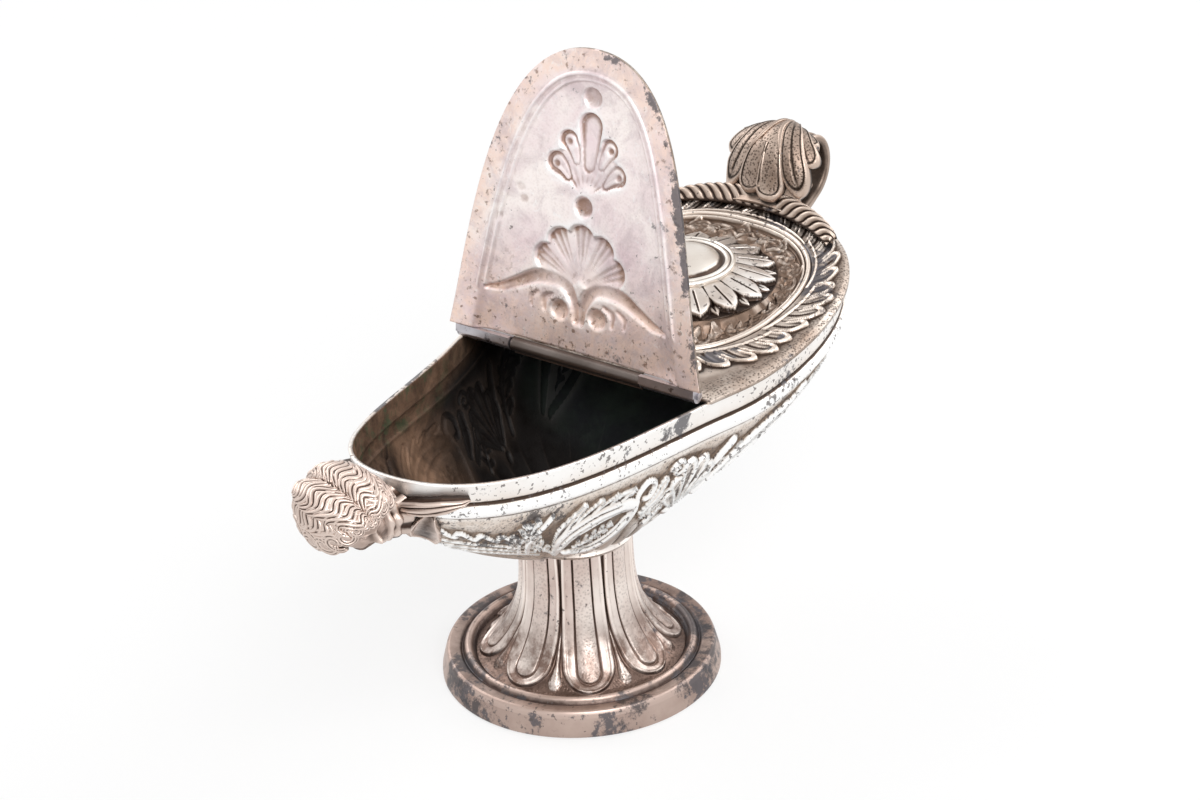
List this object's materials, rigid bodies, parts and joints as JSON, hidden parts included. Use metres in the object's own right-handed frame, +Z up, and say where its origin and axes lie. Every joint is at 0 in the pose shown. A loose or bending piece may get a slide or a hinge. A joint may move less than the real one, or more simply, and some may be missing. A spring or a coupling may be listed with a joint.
{
  "type": "incense boat",
  "caption": "Footed silver boat for incense, with a hinged lid over its front half, a fixed chased deck, a putto head at the prow and a leaf scroll at the stern.",
  "frame": {"origin": "on the ground under the middle of the round foot", "axes": "+X from prow to stern, +Y across to the starboard side, +Z up"},
  "size_m": [0.1934, 0.081, 0.1506],
  "materials": {
    "bright_silver": "worn chased silver with dark recesses",
    "warm_silver": "pinkish tarnished silver with worn high spots",
    "dark_silver": "oxidised silver"
  },
  "bodies": {
    "boat": {"hull": "bright_silver", "rim_moulding": "bright_silver", "deck": "warm_silver", "petal_ring": "bright_silver", "deck_boss": "bright_silver", "stern_crest": "bright_silver", "scroll": "warm_silver", "scroll_leaf": "dark_silver", "prow_head": "warm_silver", "prow_collar": "warm_silver", "wing_port": "bright_silver", "wing_starboard": "bright_silver", "deck_knuckle": "bright_silver", "hinge_pin": "dark_silver", "foot_stem": "warm_silver", "foot_band": "warm_silver", "stem_collar": "bright_silver", "hull_stud": "dark_silver", "foot_washer": "dark_silver", "foot_nut": "dark_silver"},
    "cover": {"lid": "warm_silver", "lid_knuckles": "bright_silver"}
  },
  "joints": [
    {"name": "lid_hinge", "type": "hinge", "parent": "boat", "child": "cover", "pos_m": [0.0046, 0, 0.07845], "axis": [0, -1, 0], "range_deg": [0, 96]}
  ]
}
